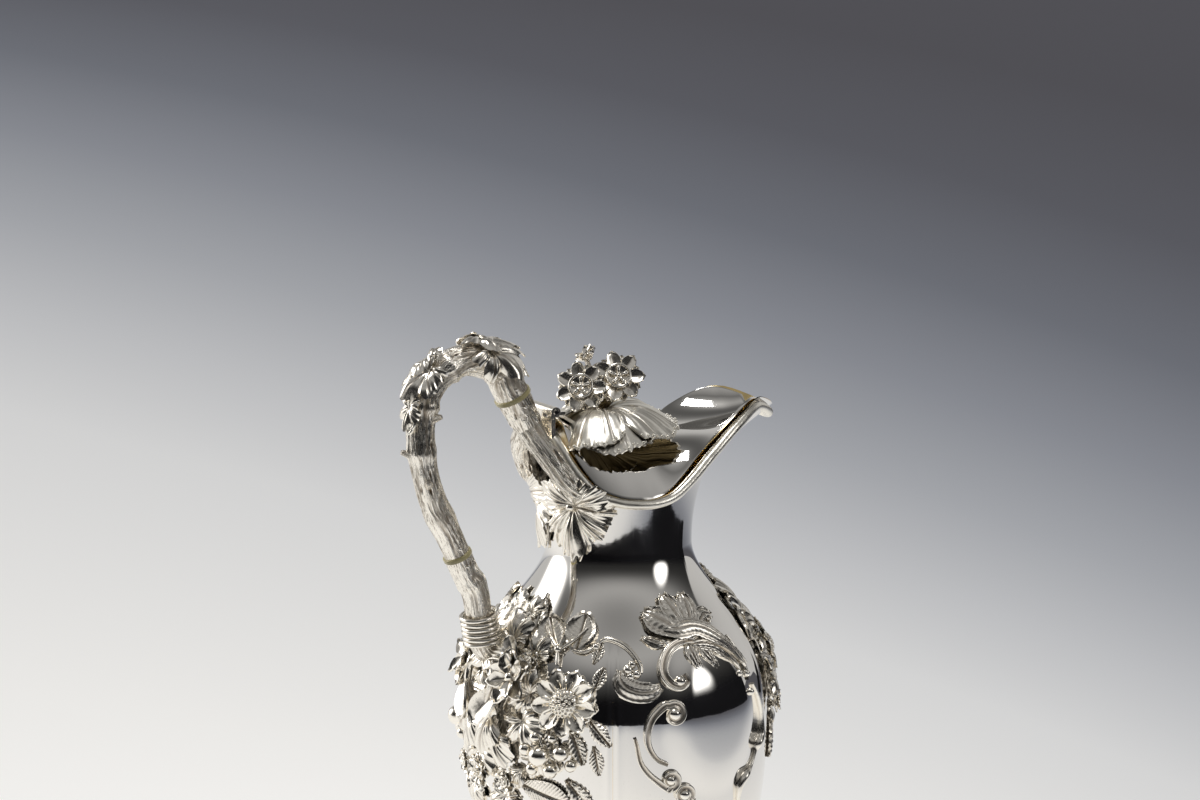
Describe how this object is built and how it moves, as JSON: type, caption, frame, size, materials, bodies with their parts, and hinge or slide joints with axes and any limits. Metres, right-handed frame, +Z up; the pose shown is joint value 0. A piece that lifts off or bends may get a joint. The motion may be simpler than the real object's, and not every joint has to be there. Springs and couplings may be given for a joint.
{
  "type": "claret jug",
  "caption": "Tall silver claret jug on a round foot, with a saddle-shaped hinged lid, a flower finial and a branch handle on ivory rings.",
  "frame": {"origin": "middle of the round foot's underside, on the jug's own axis", "axes": "+Z up along the jug's axis, +X towards the pouring tip, the handle at -X"},
  "size_m": [0.1884, 0.1368, 0.3502],
  "materials": {
    "polished_silver": "polished silver",
    "cast_silver": "chased cast silver, dark in its hollows",
    "gilt_silver": "silver gilt",
    "ivory": "yellowed ivory, half polished"
  },
  "bodies": {
    "jug": {"body_shell": "polished_silver", "neck_shell": "polished_silver", "rim_wire": "cast_silver", "stem": "polished_silver", "foot_dome": "polished_silver", "foot_ring": "polished_silver", "handle_grip": "cast_silver", "upper_ring": "ivory", "lower_ring": "ivory", "ring_pins": "polished_silver", "upper_socket": "cast_silver", "lower_socket": "cast_silver", "tendril": "cast_silver", "near_vine_leaf": "cast_silver", "far_vine_leaf": "cast_silver", "grip_leaves": "cast_silver", "handle_spray": "cast_silver", "handle_spray_flowers": "cast_silver", "spout_spray": "cast_silver", "near_scrolls": "polished_silver", "far_scrolls": "polished_silver", "hinge_bracket": "polished_silver", "hinge_pin": "polished_silver"},
    "lid": {"lid_plate": "polished_silver", "lid_strap": "polished_silver", "finial_foot": "cast_silver", "finial_stud": "gilt_silver", "finial_nut": "gilt_silver", "finial_stems": "cast_silver", "front_flower": "cast_silver", "rear_flower": "cast_silver", "flower_bud": "cast_silver", "lid_leaves": "cast_silver"}
  },
  "joints": [
    {"name": "lid_hinge", "type": "hinge", "parent": "jug", "child": "lid", "pos_m": [-0.038, 0, 0.3135], "axis": [0, -1, 0], "range_deg": [0, 70]}
  ]
}
